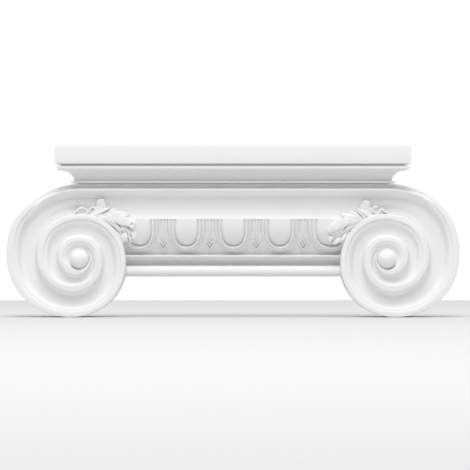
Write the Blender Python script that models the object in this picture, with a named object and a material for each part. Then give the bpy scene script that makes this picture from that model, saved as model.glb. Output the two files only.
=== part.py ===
# Ionic pilaster capital, one moulding with a flat back. Metres, +Z up, front towards -Y.
# The back is the plane y = DEPTH / 2. Inside the functions a point is (x, forward, z),
# with forward measured from that back plane.
from math import cos, pi, radians, sin

import bmesh
import bpy

# Overall sizes
DEPTH = 0.060
ABACUS_WIDTH = 0.3554
EYE_X = 0.15365
EYE_RADIUS = 0.0098
EYE_FRONT = 0.0565
EYE_ROUNDNESS = 0.62
EYE_RINGS = (0.93, 0.75, 0.42)

# Abacus: heights are measured down from its top
TOTAL_HEIGHT = 0.1718
FASCIA_HEIGHT = 0.0182
QUIRK_HEIGHT = 0.0020
QUIRK_DEPTH = 0.0040
FILLET_HEIGHT = 0.0040
COVE_HEIGHT = 0.0110
LOWER_FILLET_HEIGHT = 0.0018
LOWER_FILLET_REACH = 0.0030
FILLET_INSET = 0.0016
COVE_START_INSET = 0.0022
COVE_INSET = 0.0185
NECK_INSET = 0.0052
ARRIS = 0.0005

# Band between the volutes: distance from its upper edge, then how far forward
BAND_TOP_ABOVE_EYE = 0.0748
BAND_PROFILE = (
    (0.0000, 0.0385), (0.0006, 0.0390), (0.0045, 0.0378), (0.0046, 0.0484),
    (0.0056, 0.0500), (0.0076, 0.0484), (0.0101, 0.0418), (0.0130, 0.0383),
    (0.0200, 0.0371), (0.0270, 0.0373), (0.0318, 0.0414), (0.0353, 0.0490),
)
# Points of the band below this one follow the lower edge as it bends round the volute
FIRST_STRETCHED = 8

# Volute: turning angle from the top outwards, in degrees, then a size at that angle
COLUMNS_PER_TURN = 48
STRAIGHT_COLUMNS = 5
JOIN_ANGLE = 330
LAST_ANGLE = 1080
RIM_INWARD = (
    (90, 0.0726), (105, 0.0713), (120, 0.0692), (150, 0.0633), (165, 0.0604), (180, 0.0581),
    (210, 0.0538), (240, 0.0494), (270, 0.0463), (300, 0.0457), (330, 0.0456),
    (360, 0.0465), (380, 0.0478), (405, 0.0478), (450, 0.0465), (495, 0.0450), (540, 0.0410),
    (570, 0.0360), (600, 0.0306), (630, 0.0266), (660, 0.0268), (690, 0.0268), (720, 0.0262),
    (765, 0.0268), (810, 0.0250), (855, 0.0248), (870, 0.0240), (900, 0.0210), (930, 0.0172),
    (960, 0.0145), (990, 0.0125), (1035, 0.0105), (1080, EYE_RADIUS), (1440, EYE_RADIUS),
)
RIMS = {
    -1: ((0, 0.0748), (15, 0.0745), (30, 0.0742), (45, 0.0745), (60, 0.0752), (75, 0.0740)) + RIM_INWARD,
    1: ((0, 0.0748), (15, 0.0752), (30, 0.0763), (45, 0.0768), (60, 0.0757), (75, 0.0741)) + RIM_INWARD,
}
LIP_SLOPE = (
    (0, 0.0006), (210, 0.0006), (270, 0.0013), (330, 0.0015), (360, 0.0032), (380, 0.0050), (405, 0.0052),
    (450, 0.0058), (480, 0.0087), (510, 0.0113), (540, 0.0116), (570, 0.0106), (600, 0.0084),
    (630, 0.0060), (660, 0.0055), (690, 0.0060), (720, 0.0058), (765, 0.0060), (810, 0.0054),
    (840, 0.0082), (870, 0.0090), (900, 0.0072), (930, 0.0054), (960, 0.0036), (990, 0.0018),
    (1035, 0.0004), (1080, 0.0),
)
LIP_WIDTH = (
    (0, 0.0045), (25, 0.0036), (45, 0.0045), (60, 0.0051), (90, 0.0060), (135, 0.0056), (180, 0.0048),
    (270, 0.0040), (360, 0.0040), (405, 0.0034), (450, 0.0048), (480, 0.0032), (510, 0.0027),
    (540, 0.0033), (585, 0.0030), (630, 0.0043), (675, 0.0040), (720, 0.0033), (765, 0.0036),
    (810, 0.0040), (855, 0.0030), (900, 0.0014), (945, 0.0006), (990, 0.0003), (1080, 0.0),
)
LIP_FORWARD = (
    (0, 0.0430), (16, 0.0470), (24, 0.0490), (36, 0.0505), (60, 0.0510), (360, 0.0515),
    (720, 0.0530), (900, 0.0530), (990, 0.0512), (1080, 0.0494),
)
STEP_DOWN = 0.0017
STEP_DOWN_SHARE = 0.22
CHANNEL_FALL = 0.0104
CHANNEL_FALL_SHARE = 0.78
STEP_RUN = 0.02
SHOULDER = 0.30
FALL_END = 0.80
SLOPE_START = 0.30
SLOPE_END = 0.76
GENTLE_SHARE = 0.18
FLOOR_SHARES = (0.5, 0.2)
FLOOR_FORWARD = ((0, 0.0385), (180, 0.0422), (360, 0.0442), (540, 0.0462), (640, 0.0484), (1080, 0.0494))
RIM_FORWARD = ((0, 0.0385), (16, 0.0450), (36, 0.0485), (270, 0.0490), (330, 0.0490), (360, 0.0387))
HUB_FORWARD = 0.0494
BLEND_ANGLE = 50

# Echinus and neck between the volutes: heights above the underside of the astragal
NECK_DROP = 0.0575
BAND_OVERLAP = 0.0045
ASTRAGAL_RADIUS = 0.0054
ASTRAGAL_FORWARD = 0.0420
NECK_TUCK = 0.0028
NECK_ARC_SHARE = 0.88
COVE_PROFILE = ((0.0107, 0.0310), (0.0122, 0.0286), (0.0145, 0.0302), (0.0168, 0.0338), (0.0187, 0.0376),
                (0.0198, 0.0400), (0.0198, 0.0412), (0.0213, 0.0412), (0.0216, 0.0385))
OVOLO_PROFILE = ((0.0222, 0.0323), (0.0275, 0.0362), (0.0335, 0.0407), (0.0395, 0.0442),
                 (0.0455, 0.0463), (0.0515, 0.0473), (0.0572, 0.0476))

# Egg and dart: heights above the underside of the astragal
EGG_SPACING = 0.04675
EGG_COUNT = 5
EGG_HALF_WIDTH = 0.0128
EGG_HALF_HEIGHT = 0.0170
EGG_HALF_DEPTH = 0.0093
EGG_CENTRE_FORWARD = 0.0412
EGG_CENTRE_ABOVE_NECK = 0.0497
END_EGG_EXTRA = 0.0045
EGG_TOP_GAP = 0.0001
FRAME_GAP = 0.0021
FRAME_SPACING = 0.0030
FRAME_RADIUS = 0.0017
FRAME_PROUD = 0.0006
FRAME_SIDES = 4
FRAME_ROOT = 0.0020
FRAME_TURN_DROP = 0.0010
INNER_FRAME_BELOW = 0.0035
OUTER_FRAME_BELOW = 0.0065
DART_HALF_WIDTH = 0.0062
DART_STEM_HALF_WIDTH = 0.0012
DART_BARB_ABOVE_NECK = 0.0357
DART_POINT_ABOVE_NECK = 0.0262
DART_RIDGE = 0.0028
DART_EDGE_SHARE = 0.1
DART_STEM_SHARE = 0.6
DART_BARB_RISE = 1.7
DART_STEM_TAPER = 0.7

# Acanthus leaf on each volute: every lobe is a run of (towards the middle, above the eye,
# forward, radius) from its root to its tip
LEAF_LOBES = (
    ((-0.0070, 0.0440, 0.0455, 0.0012), (-0.0015, 0.0478, 0.0455, 0.0018),
     (0.0030, 0.0508, 0.0450, 0.0012)),
    ((0.0030, 0.0445, 0.0465, 0.0015), (0.0100, 0.0478, 0.0475, 0.0022),
     (0.0132, 0.0512, 0.0470, 0.0018)),
    ((0.0110, 0.0425, 0.0475, 0.0020), (0.0190, 0.0460, 0.0480, 0.0032),
     (0.0220, 0.0510, 0.0480, 0.0038), (0.0222, 0.0545, 0.0475, 0.0038)),
    ((0.0120, 0.0425, 0.0490, 0.0015), (0.0200, 0.0445, 0.0510, 0.0022),
     (0.0278, 0.0495, 0.0508, 0.0014)),
    ((0.0165, 0.0415, 0.0485, 0.0026), (0.0270, 0.0437, 0.0515, 0.0026),
     (0.0350, 0.0482, 0.0512, 0.0014)),
    ((0.0220, 0.0405, 0.0500, 0.0018), (0.0340, 0.0432, 0.0520, 0.0032),
     (0.0430, 0.0452, 0.0520, 0.0026), (0.0470, 0.0448, 0.0508, 0.0014)),
    ((0.0230, 0.0390, 0.0500, 0.0015), (0.0345, 0.0385, 0.0525, 0.0034),
     (0.0450, 0.0372, 0.0530, 0.0036), (0.0525, 0.0349, 0.0530, 0.0036)),
    ((0.0300, 0.0355, 0.0495, 0.0015), (0.0400, 0.0305, 0.0510, 0.0026),
     (0.0480, 0.0285, 0.0512, 0.0024), (0.0538, 0.0243, 0.0515, 0.0028)),
    ((0.0390, 0.0285, 0.0490, 0.0012), (0.0435, 0.0240, 0.0505, 0.0022),
     (0.0470, 0.0205, 0.0500, 0.0020)),
)
LEAF_SIDES = 6
LEAF_ROOT = 0.0120
LEAF_SINK = 0.0016
TIP_REACH = 0.7
TIP_TAPER = 0.45
TIP_DROP = 0.0004

BACK = DEPTH / 2
# Every body first runs a different distance behind the back plane, where all are cut off flat
BEHIND = 0.001


def at(table, angle):
    """The size in a table at this angle, by a smooth curve through its points."""
    if angle <= table[0][0]:
        return table[0][1]
    if angle >= table[-1][0]:
        return table[-1][1]
    i = max(k for k in range(len(table) - 1) if table[k][0] <= angle)
    slopes = []
    for k in (i, i + 1):
        before = table[max(k - 1, 0)]
        after = table[min(k + 1, len(table) - 1)]
        slopes.append((after[1] - before[1]) / (after[0] - before[0]))
    (a0, v0), (a1, v1) = table[i], table[i + 1]
    step = a1 - a0
    t = (angle - a0) / step
    return ((2 * t ** 3 - 3 * t ** 2 + 1) * v0 + (t ** 3 - 2 * t ** 2 + t) * step * slopes[0]
            + (3 * t ** 2 - 2 * t ** 3) * v1 + (t ** 3 - t ** 2) * step * slopes[1])


def smooth(t):
    t = min(max(t, 0), 1)
    return t * t * (3 - 2 * t)


# Rows of a channel section that the straight band and the first turn, the second turn and
# the third turn use
BAND_ROWS = (0, 3, 4, 5, 6, 7, 8, 9, 10, 11, 12, 13)
SECOND_TURN_ROWS = (0, 1, 2, 3, 4, 5, 6, 9, 13)
THIRD_TURN_ROWS = (0, 2, 3, 4, 6, 9, 13)

# The volutes stand on z = 0, so the lowest point of the rim sets the height of the eye
EYE_Z = max(-at(RIM_INWARD, 360 * i / COLUMNS_PER_TURN) * cos(2 * pi * i / COLUMNS_PER_TURN)
            for i in range(COLUMNS_PER_TURN))
BAND_TOP = EYE_Z + BAND_TOP_ABOVE_EYE
BAND_BOTTOM = EYE_Z + at(RIM_INWARD, JOIN_ANGLE) * cos(radians(JOIN_ANGLE))
NECK_BOTTOM = BAND_BOTTOM - NECK_DROP
OVOLO_TOP = NECK_BOTTOM + OVOLO_PROFILE[-1][0]


def foot_forward(angle):
    """How far forward the outer foot of the lip stands: on the channel floor one turn out."""
    if angle < 360:
        return at(RIM_FORWARD, angle)
    if angle >= LAST_ANGLE:
        return HUB_FORWARD
    return at(FLOOR_FORWARD, angle - 360) + 0.0002


def volute_section(angle, side):
    """Numbered (radius, forward) points across the channel, from the rim in to the next turn."""
    rim = at(RIMS[side], angle)
    crest = rim - at(LIP_SLOPE, angle)
    step = crest - at(LIP_WIDTH, angle)
    inner = at(RIMS[side], angle + 360)
    foot = foot_forward(angle)
    high = at(LIP_FORWARD, angle)
    low = at(FLOOR_FORWARD, angle)
    span = step - inner
    fall = min(CHANNEL_FALL, CHANNEL_FALL_SHARE * span)
    edge = high - min(STEP_DOWN, STEP_DOWN_SHARE * (high - low))
    section = [(rim, foot)]
    # Outer slope: gentle, steep, then gentle up to the lip
    for share in (SLOPE_START, SLOPE_END):
        rise = GENTLE_SHARE * share + (1 - GENTLE_SHARE) * (share == SLOPE_END)
        section.append((rim + (crest - rim) * share, foot + (high - foot) * rise))
    section += [(crest, high), (step, high), (step - STEP_RUN * fall, edge)]
    # Fall into the channel: a shoulder, then a steep part down to the floor
    middle = (SHOULDER + FALL_END) / 2
    for share in (SHOULDER, (SHOULDER + middle) / 2, (middle + FALL_END) / 2, FALL_END, 1):
        drop = 1 - smooth((share - SHOULDER) / (FALL_END - SHOULDER))
        drop = GENTLE_SHARE * (1 - share) + (1 - GENTLE_SHARE) * drop
        section.append((step - share * fall, low + (edge - low) * drop))
    section += [(inner + share * (span - fall), low) for share in FLOOR_SHARES]
    section.append((inner, foot_forward(angle + 360)))
    blend = 1 - smooth(angle / BLEND_ANGLE)
    if blend:
        reach = (rim - inner) / BAND_PROFILE[-1][0]
        for i, (down, forward) in zip(BAND_ROWS[:-1], BAND_PROFILE[:-1]):
            down = down if i < BAND_ROWS[FIRST_STRETCHED] else down * reach
            radius, height = section[i]
            section[i] = (radius + blend * (rim - down - radius), height + blend * (forward - height))
    return section


def add_column(shape, points):
    return [shape.verts.new((x, BACK - forward, z)) for x, forward, z in points]


def join_columns(shape, first, second):
    """Faces between two columns of numbered points; either may leave out some rows."""
    shared = sorted(set(first) & set(second))
    for low, high in zip(shared, shared[1:]):
        corners = [first[i] for i in sorted(first) if low <= i <= high]
        corners += [second[i] for i in sorted(second, reverse=True) if low <= i <= high]
        shape.faces.new(corners)


def half_body(shape, side):
    """Band, volute and eye of one side, open at x = 0, with walls back past the back plane."""
    step = 360 / COLUMNS_PER_TURN
    rim = RIMS[side]
    join_x = EYE_X + at(rim, JOIN_ANGLE) * sin(radians(JOIN_ANGLE))
    columns = []
    band_places = [(join_x * i / STRAIGHT_COLUMNS, BAND_BOTTOM, BAND_PROFILE[-1][1])
                   for i in range(STRAIGHT_COLUMNS)]
    for i in range(int((360 - JOIN_ANGLE) / step)):
        angle = JOIN_ANGLE + i * step
        radius = at(rim, angle)
        band_places.append((EYE_X + radius * sin(radians(angle)), EYE_Z + radius * cos(radians(angle)),
                            foot_forward(angle)))
    for x, low, forward in band_places:
        reach = (BAND_TOP - low) / BAND_PROFILE[-1][0]
        points = [(side * x, f, BAND_TOP - (d if i < FIRST_STRETCHED else d * reach))
                  for i, (d, f) in enumerate(BAND_PROFILE)]
        points[-1] = (side * x, forward, low)
        columns.append((None, dict(zip(BAND_ROWS, add_column(shape, points)))))
    angle = 0
    while angle <= LAST_ANGLE:
        turn = radians(angle)
        points = [(side * (EYE_X + r * sin(turn)), f, EYE_Z + r * cos(turn))
                  for r, f in volute_section(angle, side)]
        kept = BAND_ROWS if angle <= 360 else SECOND_TURN_ROWS if angle <= 720 else THIRD_TURN_ROWS
        made = add_column(shape, [points[i] for i in kept])
        columns.append((angle, dict(zip(kept, made))))
        angle += step
    for (_, first), (_, second) in zip(columns, columns[1:]):
        join_columns(shape, first, second)
    # Eye: rings up to the pole
    hub = [rows[BAND_ROWS[-1]] for angle, rows in columns if angle is not None and angle > LAST_ANGLE - 360]
    ring = hub
    for share in EYE_RINGS:
        forward = HUB_FORWARD + (EYE_FRONT - HUB_FORWARD) * (1 - share ** 2) ** EYE_ROUNDNESS
        inner = add_column(shape, [
            (side * EYE_X + (v.co.x - side * EYE_X) * share, forward, EYE_Z + (v.co.z - EYE_Z) * share)
            for v in hub])
        for i in range(len(ring)):
            j = (i + 1) % len(ring)
            shape.faces.new((ring[i], ring[j], inner[j], inner[i]))
        ring = inner
    pole = shape.verts.new((side * EYE_X, BACK - EYE_FRONT, EYE_Z))
    for i in range(len(ring)):
        shape.faces.new((ring[i], ring[(i + 1) % len(ring)], pole))
    # Walls and back
    edge = [rows[0] for angle, rows in columns if angle is None or angle <= JOIN_ANGLE]
    under = [rows[BAND_ROWS[-1]] for angle, rows in columns[:STRAIGHT_COLUMNS]]
    outline = edge + under[::-1]
    rear = [shape.verts.new((v.co.x, BACK + 3 * BEHIND, v.co.z)) for v in outline]
    for i in range(len(outline) - 1):
        shape.faces.new((outline[i], outline[i + 1], rear[i + 1], rear[i]))
    shape.faces.new(rear)


def finished(name, shape, weld=0.00001):
    """A mesh object in the cutters collection, its points welded and its normals outward."""
    bmesh.ops.remove_doubles(shape, verts=shape.verts, dist=weld)
    bmesh.ops.dissolve_degenerate(shape, edges=shape.edges, dist=weld / 10)
    bmesh.ops.recalc_face_normals(shape, faces=shape.faces)
    mesh = bpy.data.meshes.new(name)
    shape.to_mesh(mesh)
    shape.free()
    made = bpy.data.objects.new(name, mesh)
    parts.objects.link(made)
    made.hide_render = True
    made.display_type = "WIRE"
    return made


def make_body():
    shape = bmesh.new()
    for side in (-1, 1):
        half_body(shape, side)
    return finished("band_and_volutes", shape)


def loft(name, rings):
    """A closed body through rings of (x, forward, z) points, capped at both ends."""
    shape = bmesh.new()
    made = [add_column(shape, ring) for ring in rings]
    for first, second in zip(made, made[1:]):
        for i in range(len(first)):
            j = (i + 1) % len(first)
            shape.faces.new((first[i], first[j], second[j], second[i]))
    shape.faces.new(made[0])
    shape.faces.new(made[-1])
    return finished(name, shape)


def make_abacus():
    """Fascia, fillet, cove and lower fillet, mitred round the front and both ends."""
    low = TOTAL_HEIGHT - FASCIA_HEIGHT
    quirk = FILLET_INSET + QUIRK_DEPTH
    bead_top = low - QUIRK_HEIGHT
    bead_low = bead_top - FILLET_HEIGHT
    steps = [(0, TOTAL_HEIGHT), (0, low), (quirk, low - ARRIS / 4), (quirk, bead_top + ARRIS / 4),
             (FILLET_INSET + ARRIS, bead_top), (FILLET_INSET, bead_top - ARRIS),
             (FILLET_INSET, bead_low + ARRIS), (FILLET_INSET + ARRIS, bead_low)]
    cove_top = bead_low - ARRIS / 2
    cove_in = FILLET_INSET + COVE_START_INSET
    run = COVE_INSET - cove_in
    for i in range(7):
        turn = pi / 2 * i / 6
        steps.append((cove_in + run * sin(turn), cove_top - COVE_HEIGHT * (1 - cos(turn))))
    base = cove_top - COVE_HEIGHT
    fillet = COVE_INSET - LOWER_FILLET_REACH
    under = base - LOWER_FILLET_HEIGHT
    steps += [(fillet, base - ARRIS / 4), (fillet, under), (COVE_INSET + NECK_INSET, under - ARRIS),
              (COVE_INSET + NECK_INSET, BAND_TOP - 2 * BAND_OVERLAP)]
    rings = []
    for inset, z in steps:
        half = ABACUS_WIDTH / 2 - inset
        front = DEPTH - inset
        rings.append([(-half, -BEHIND, z), (half, -BEHIND, z), (half, front, z), (-half, front, z)])
    return loft("abacus", rings)


def ovolo_forward(z):
    """Front of the plain ovolo at a height."""
    return at(OVOLO_PROFILE, z - NECK_BOTTOM)


def neck_end(z):
    """How far out the neck runs at a height: to a tuck inside the rim of the volute."""
    inside = at(RIM_INWARD, 300) - NECK_TUCK
    up = min(z - EYE_Z, NECK_ARC_SHARE * inside)
    return EYE_X - (inside ** 2 - up ** 2) ** 0.5


def make_echinus():
    """Astragal, cove, fillet and ovolo in one run between the volutes."""
    outline = [(-2 * BEHIND, NECK_BOTTOM)]
    centre = ASTRAGAL_FORWARD - ASTRAGAL_RADIUS
    for i in range(11):
        turn = -pi / 2 + pi * i / 10
        outline.append((centre + ASTRAGAL_RADIUS * cos(turn),
                        NECK_BOTTOM + ASTRAGAL_RADIUS * (1 + sin(turn))))
    outline += [(forward, NECK_BOTTOM + up) for up, forward in COVE_PROFILE + OVOLO_PROFILE]
    inside = min(forward for _, forward in BAND_PROFILE) - BAND_OVERLAP / 2
    outline += [(inside, OVOLO_TOP + BAND_OVERLAP / 4), (inside, BAND_BOTTOM + BAND_OVERLAP),
                (-2 * BEHIND, BAND_BOTTOM + BAND_OVERLAP)]
    rings = [[(end * neck_end(z), forward, z) for forward, z in outline] for end in (-1, 0, 1)]
    return loft("echinus", rings)


def rod(name, points, sides, root):
    """A tapering ridge through (x, forward, z, radius) points, its rear half set back by a root."""
    rings = []
    count = len(points)
    for i, (x, forward, z, radius) in enumerate(points):
        before = points[max(i - 1, 0)]
        after = points[min(i + 1, count - 1)]
        along = unit_vector(after[0] - before[0], after[1] - before[1], after[2] - before[2])
        side = unit_vector(-along[2], 0, along[0])
        up = cross(side, along)
        ring = []
        for k in range(sides):
            turn = 2 * pi * (k + 0.5) / sides
            offset = [radius * (cos(turn) * s + sin(turn) * u) for s, u in zip(side, up)]
            back = root if offset[1] < 0 else 0
            ring.append((x + offset[0], forward + offset[1] - back, z + offset[2]))
        rings.append(ring)
    return loft(name, rings)


def unit_vector(x, y, z):
    """The direction of a vector, one long."""
    length = (x * x + y * y + z * z) ** 0.5
    return (x / length, y / length, z / length)


def cross(a, b):
    """The direction at right angles to two others."""
    return unit_vector(a[1] * b[2] - a[2] * b[1], a[2] * b[0] - a[0] * b[2], a[0] * b[1] - a[1] * b[0])


def egg_centres():
    """(centre x, extra half width) of each egg; the last one is wider, to fill out the run."""
    first = -EGG_SPACING * (EGG_COUNT - 1) / 2
    places = [(first + i * EGG_SPACING, 0.0) for i in range(EGG_COUNT - 1)]
    places.append((first + (EGG_COUNT - 1) * EGG_SPACING + END_EGG_EXTRA, END_EGG_EXTRA))
    return places


def make_egg(name, x, extra):
    """An ellipsoid cut flat where it meets the band."""
    shape = bmesh.new()
    bmesh.ops.create_uvsphere(shape, u_segments=12, v_segments=9, radius=1)
    centre = NECK_BOTTOM + EGG_CENTRE_ABOVE_NECK
    for v in shape.verts:
        v.co = (x + v.co.x * (EGG_HALF_WIDTH + extra), BACK - EGG_CENTRE_FORWARD - v.co.y * EGG_HALF_DEPTH,
                centre + v.co.z * EGG_HALF_HEIGHT)
    top = OVOLO_TOP - EGG_TOP_GAP
    cut = bmesh.ops.bisect_plane(shape, geom=shape.verts[:] + shape.edges[:] + shape.faces[:],
                                 plane_co=(0, 0, top), plane_no=(0, 0, 1), clear_outer=True)
    bmesh.ops.holes_fill(shape, edges=[g for g in cut["geom_cut"] if isinstance(g, bmesh.types.BMEdge)])
    return finished(name, shape)


def make_frame(name, x, half_width, depth_below):
    """One raised ridge in a U round an egg."""
    top = OVOLO_TOP - FRAME_RADIUS
    middle = NECK_BOTTOM + EGG_CENTRE_ABOVE_NECK - FRAME_TURN_DROP
    bottom = NECK_BOTTOM + EGG_CENTRE_ABOVE_NECK - EGG_HALF_HEIGHT - depth_below
    path = [(x - half_width, top)]
    for i in range(11):
        turn = pi * i / 10
        path.append((x - half_width * cos(turn), middle - (middle - bottom) * sin(turn)))
    path.append((x + half_width, top))
    return rod(name, [(px, ovolo_forward(pz) + FRAME_PROUD, pz, FRAME_RADIUS) for px, pz in path],
               FRAME_SIDES, FRAME_ROOT)


def make_dart(name, x):
    """Stem and arrow head between two eggs."""
    top = OVOLO_TOP - FRAME_RADIUS / 2
    barb = NECK_BOTTOM + DART_BARB_ABOVE_NECK
    point = NECK_BOTTOM + DART_POINT_ABOVE_NECK
    stem = DART_STEM_HALF_WIDTH
    stem_end = barb + DART_BARB_RISE * stem
    shape = bmesh.new()
    outline = [(DART_STEM_TAPER * stem, top), (stem, stem_end), (DART_HALF_WIDTH, barb), (stem, point)]
    front = [(x + s * w, ovolo_forward(z) + DART_EDGE_SHARE * DART_RIDGE, z)
             for s, pts in ((-1, outline), (1, outline[::-1])) for w, z in pts]
    rear = [(px, forward - 2 * DART_RIDGE, z) for px, forward, z in front]
    ridge = [(x, ovolo_forward(z) + share * DART_RIDGE, z) for z, share in
             ((top, DART_STEM_SHARE), (stem_end, DART_STEM_SHARE), ((barb + point) / 2, 1),
              (point, DART_STEM_SHARE))]
    front_made = add_column(shape, front)
    rear_made = add_column(shape, rear)
    ridge_made = add_column(shape, ridge)
    for i in range(8):
        j = (i + 1) % 8
        shape.faces.new((front_made[i], front_made[j], rear_made[j], rear_made[i]))
    for i in range(3):
        shape.faces.new((front_made[i], front_made[i + 1], ridge_made[i + 1], ridge_made[i]))
        shape.faces.new((front_made[7 - i], front_made[6 - i], ridge_made[i + 1], ridge_made[i]))
    shape.faces.new((front_made[0], front_made[7], ridge_made[0]))
    shape.faces.new((front_made[3], front_made[4], ridge_made[3]))
    shape.faces.new(rear_made)
    return finished(name, shape)


def make_leaf(side):
    """The lobes of one acanthus leaf; side is -1 on the left and 1 on the right."""
    made = []
    for i, lobe in enumerate(LEAF_LOBES):
        points = [(side * (EYE_X - along), forward - LEAF_SINK, EYE_Z + up, radius)
                  for along, up, forward, radius in lobe]
        before, last = points[-2], points[-1]
        ahead = unit_vector(*[last[k] - before[k] for k in range(3)])
        tip = [last[k] + TIP_REACH * last[3] * ahead[k] for k in range(3)]
        points.append((tip[0], tip[1] - TIP_DROP, tip[2], TIP_TAPER * last[3]))
        made.append(rod(f"lobe_{side}_{i}", points, LEAF_SIDES, LEAF_ROOT))
    return made


def join(base, others):
    for other in others:
        step = base.modifiers.new(other.name, "BOOLEAN")
        step.operation = "UNION"
        step.solver = "EXACT"
        step.object = other


# Start from an empty scene
for old in list(bpy.data.objects):
    bpy.data.objects.remove(old, do_unlink=True)

capital_group = bpy.data.collections.new("ionic_capital")
parts = bpy.data.collections.new("cutters")
for group in (capital_group, parts):
    bpy.context.scene.collection.children.link(group)
parts.hide_render = True

# White moulded body
body = make_body()
others = [make_echinus(), make_abacus()]
centres = egg_centres()
for number, (x, extra) in enumerate(centres):
    others.append(make_egg(f"egg_{number}", x, extra))
    inner_half = EGG_HALF_WIDTH + extra + FRAME_GAP
    others.append(make_frame(f"inner_frame_{number}", x, inner_half, INNER_FRAME_BELOW))
    outer_half = inner_half + FRAME_SPACING
    others.append(make_frame(f"outer_frame_{number}", x, outer_half, OUTER_FRAME_BELOW))
for number in range(EGG_COUNT - 1):
    gap_middle = centres[number][0] + EGG_SPACING / 2
    others.append(make_dart(f"dart_{number}", gap_middle))
for side in (-1, 1):
    others += make_leaf(side)
join(body, others)

# Flat back: everything behind the back plane is cut away
shape = bmesh.new()
bmesh.ops.create_cube(shape, size=2)
for v in shape.verts:
    v.co = (v.co.x * 2 * EYE_X, BACK + (1 + v.co.y) * DEPTH / 4, (1 + 2 * v.co.z) * TOTAL_HEIGHT)
back_cutter = finished("back_cutter", shape)
cut = body.modifiers.new("flat_back", "BOOLEAN")
cut.operation = "DIFFERENCE"
cut.solver = "EXACT"
cut.object = back_cutter

bpy.context.view_layer.update()
graph = bpy.context.evaluated_depsgraph_get()
mesh = bpy.data.meshes.new_from_object(body.evaluated_get(graph))
mesh.name = "ionic_capital"
capital = bpy.data.objects.new("ionic_capital", mesh)
capital_group.objects.link(capital)

white = bpy.data.materials.new("white_primer")
white.use_nodes = True
surface = white.node_tree.nodes["Principled BSDF"]
surface.inputs["Base Color"].default_value = (0.86, 0.86, 0.86, 1)
surface.inputs["Roughness"].default_value = 0.55
mesh.materials.clear()
mesh.materials.append(white)
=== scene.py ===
from math import cos, pi, radians, sin

import bmesh
import bpy
import numpy as np
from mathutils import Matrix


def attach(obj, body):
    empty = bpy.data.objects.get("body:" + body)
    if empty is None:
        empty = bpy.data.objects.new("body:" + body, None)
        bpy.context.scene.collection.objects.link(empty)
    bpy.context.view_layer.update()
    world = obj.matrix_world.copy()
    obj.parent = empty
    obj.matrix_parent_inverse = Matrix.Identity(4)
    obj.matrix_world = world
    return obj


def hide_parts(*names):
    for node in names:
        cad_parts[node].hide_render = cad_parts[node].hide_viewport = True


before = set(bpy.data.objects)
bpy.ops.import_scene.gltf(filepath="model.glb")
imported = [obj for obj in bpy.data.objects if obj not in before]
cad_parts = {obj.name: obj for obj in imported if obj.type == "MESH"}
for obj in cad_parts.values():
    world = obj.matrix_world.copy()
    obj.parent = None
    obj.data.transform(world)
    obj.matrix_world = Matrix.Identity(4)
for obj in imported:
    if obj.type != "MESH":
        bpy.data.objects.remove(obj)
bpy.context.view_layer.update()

# Channel band and volutes: one moulded body. A sunk channel runs along the front between two
# lips, and at each end it winds three times inwards to a domed eye. It is cast in rigid foam
# with a flat back, and carries the lips, the eyes and the side walls in one skin.

DEPTH = 0.060
BACK = DEPTH / 2
EYE_X = 0.15365
EYE_RADIUS = 0.0098
EYE_FRONT = 0.0565
HUB_FORWARD = 0.0494
TURN_STEP = 1.5
JOIN_ANGLE = 330
LAST_ANGLE = 1080
BLEND_ANGLE = 50
BAND_TOP_ABOVE_EYE = 0.0748
BAND_REACH = 0.0353

# Turning angle from the top outwards, in degrees, then the radius of the rim there
RIM_INWARD = (
    (90, 0.0726), (105, 0.0713), (120, 0.0692), (150, 0.0633), (165, 0.0604), (180, 0.0581),
    (210, 0.0538), (240, 0.0494), (270, 0.0463), (300, 0.0457), (330, 0.0456),
    (360, 0.0465), (380, 0.0478), (405, 0.0478), (450, 0.0465), (495, 0.0450), (540, 0.0410),
    (570, 0.0360), (600, 0.0306), (630, 0.0266), (660, 0.0268), (690, 0.0268), (720, 0.0262),
    (765, 0.0268), (810, 0.0250), (855, 0.0248), (870, 0.0240), (900, 0.0210), (930, 0.0172),
    (960, 0.0145), (990, 0.0125), (1035, 0.0105), (1080, EYE_RADIUS), (1440, EYE_RADIUS),
)
RIMS = {
    -1: ((0, 0.0748), (15, 0.0745), (30, 0.0742), (45, 0.0745), (60, 0.0752), (75, 0.0740)) + RIM_INWARD,
    1: ((0, 0.0748), (15, 0.0752), (30, 0.0763), (45, 0.0768), (60, 0.0757), (75, 0.0741)) + RIM_INWARD,
}
# By turning angle too: the run of the outer slope, the width of the lip, and how far forward
# of the back the lip, the channel floor and the outer foot stand
LIP_SLOPE = (
    (0, 0.0006), (210, 0.0006), (270, 0.0013), (330, 0.0015), (360, 0.0032), (380, 0.0050), (405, 0.0052),
    (450, 0.0058), (480, 0.0087), (510, 0.0113), (540, 0.0116), (570, 0.0106), (600, 0.0084),
    (630, 0.0060), (660, 0.0055), (690, 0.0060), (720, 0.0058), (765, 0.0060), (810, 0.0054),
    (840, 0.0082), (870, 0.0090), (900, 0.0072), (930, 0.0054), (960, 0.0036), (990, 0.0018),
    (1035, 0.0004), (1080, 0.0),
)
LIP_WIDTH = (
    (0, 0.0045), (25, 0.0036), (45, 0.0045), (60, 0.0051), (90, 0.0060), (135, 0.0056), (180, 0.0048),
    (270, 0.0040), (360, 0.0040), (405, 0.0034), (450, 0.0048), (480, 0.0032), (510, 0.0027),
    (540, 0.0033), (585, 0.0030), (630, 0.0043), (675, 0.0040), (720, 0.0033), (765, 0.0036),
    (810, 0.0040), (855, 0.0030), (900, 0.0014), (945, 0.0006), (990, 0.0003), (1080, 0.0),
)
LIP_FORWARD = (
    (0, 0.0430), (16, 0.0470), (24, 0.0490), (36, 0.0505), (60, 0.0510), (360, 0.0515),
    (720, 0.0530), (900, 0.0530), (990, 0.0512), (1080, 0.0494),
)
FLOOR_FORWARD = ((0, 0.0385), (180, 0.0422), (360, 0.0442), (540, 0.0462), (640, 0.0484), (1080, 0.0494))
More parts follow.
